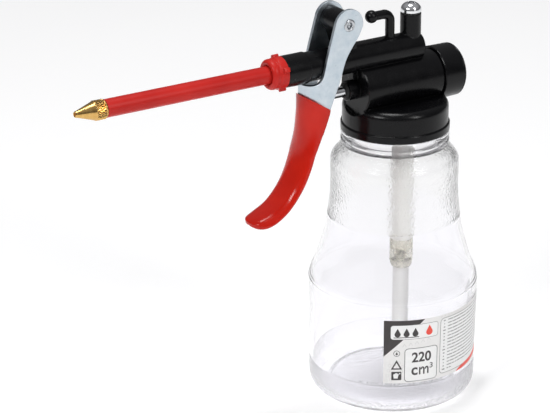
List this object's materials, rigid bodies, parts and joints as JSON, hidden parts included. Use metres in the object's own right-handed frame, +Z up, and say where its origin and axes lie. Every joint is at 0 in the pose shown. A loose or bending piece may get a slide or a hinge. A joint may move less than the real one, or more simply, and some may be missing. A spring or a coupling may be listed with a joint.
{
  "type": "lever pump oil can",
  "caption": "Hand oiler with a clear bottle, a black screw-on pump head, a squeeze lever with a red grip, and a straight red spout with a brass nozzle.",
  "frame": {"origin": "centre of the bottle's base, in the plane that it stands on", "axes": "+Z up along the bottle's axis; the spout points along -X; Y is across, and the object is laid out about the plane Y = 0"},
  "size_m": [0.165, 0.0648, 0.1561],
  "materials": {
    "clear_bottle": "clear, glossy; base band and shoulder drum lightly frosted",
    "label_film": "satin printed film",
    "black_plastic": "satin moulded",
    "gasket_rubber": "matte",
    "bright_steel": "bright plated",
    "white_nylon": "turned nylon",
    "spring_steel": "drawn wire",
    "zinc_steel": "zinc plated, satin",
    "red_vinyl": "dipped vinyl, glossy",
    "red_plastic": "satin moulded",
    "nozzle_brass": "machined",
    "clear_pipe": "milky translucent",
    "amber_pipe": "translucent, slightly yellow"
  },
  "bodies": {
    "bottle": {"bottle": "clear_bottle", "bottle_label": "label_film"},
    "neck_gasket": {"cap_seal": "gasket_rubber"},
    "pump_head": {"pump_head": "black_plastic", "rear_cap": "black_plastic", "rear_cap_seal": "gasket_rubber", "rod_seal": "gasket_rubber", "valve_screw": "bright_steel", "valve_screw_washer": "gasket_rubber", "discharge_spring": "spring_steel", "suction_pipe": "clear_pipe", "suction_valve_body": "amber_pipe", "dip_tube": "clear_pipe", "return_spring": "spring_steel", "suction_spring": "spring_steel"},
    "lever": {"lever": "zinc_steel", "lever_grip": "red_vinyl", "lever_rivet": "bright_steel"},
    "plunger": {"plunger_rod": "bright_steel", "piston": "white_nylon", "piston_seal": "gasket_rubber"},
    "spout": {"spout_tube": "red_plastic", "spout_seal": "gasket_rubber"},
    "spout_nut": {"spout_nut": "red_plastic"},
    "nozzle": {"nozzle_tip": "nozzle_brass"},
    "discharge_ball": {"discharge_ball": "bright_steel"},
    "suction_ball": {"suction_ball": "bright_steel"}
  },
  "joints": [
    {"name": "head_lift", "type": "slide", "parent": "bottle", "child": "neck_gasket", "axis": [0, 0, 1], "range_m": [0, 0.11]},
    {"name": "head_turn", "type": "hinge", "parent": "neck_gasket", "child": "pump_head", "pos_m": [0, 0, 0.111], "axis": [0, 0, 1], "range_deg": [0, 720]},
    {"name": "lever_squeeze", "type": "hinge", "parent": "pump_head", "child": "lever", "pos_m": [-0.0255, 0, 0.1502], "axis": [0, -1, 0], "range_deg": [0, 16], "stiffness_Nm_per_rad": 0.25, "springref_deg": -17.19},
    {"name": "plunger_slide", "type": "slide", "parent": "pump_head", "child": "plunger", "axis": [1, 0, 0], "range_m": [0, 0.0077], "deforming": ["return_spring"]},
    {"name": "spout_slide", "type": "slide", "parent": "pump_head", "child": "spout", "axis": [-1, 0, 0], "range_m": [0, 0.0045]},
    {"name": "spout_nut_turn", "type": "hinge", "parent": "spout", "child": "spout_nut", "pos_m": [-0.05, 0, 0.13515], "axis": [-1, 0, 0], "range_deg": [0, 1080]},
    {"name": "nozzle_turn", "type": "hinge", "parent": "spout", "child": "nozzle", "pos_m": [-0.125, 0, 0.13515], "axis": [-1, 0, 0], "range_deg": [0, 360]},
    {"name": "discharge_ball_lift", "type": "slide", "parent": "pump_head", "child": "discharge_ball", "axis": [0, 0, 1], "range_m": [0, 0.001], "stiffness_N_per_m": 40, "springref_m": -0.002, "deforming": ["discharge_spring"]},
    {"name": "suction_ball_lift", "type": "slide", "parent": "pump_head", "child": "suction_ball", "axis": [0, 0, 1], "range_m": [0, 0.001], "stiffness_N_per_m": 20, "springref_m": -0.002, "deforming": ["suction_spring"]}
  ],
  "couplings": [
    {"joint": "plunger_slide", "follows": "lever_squeeze", "m_per_rad": 0.0274},
    {"joint": "spout_nut_turn", "follows": "spout_slide", "rad_per_m": 4188.8}
  ]
}
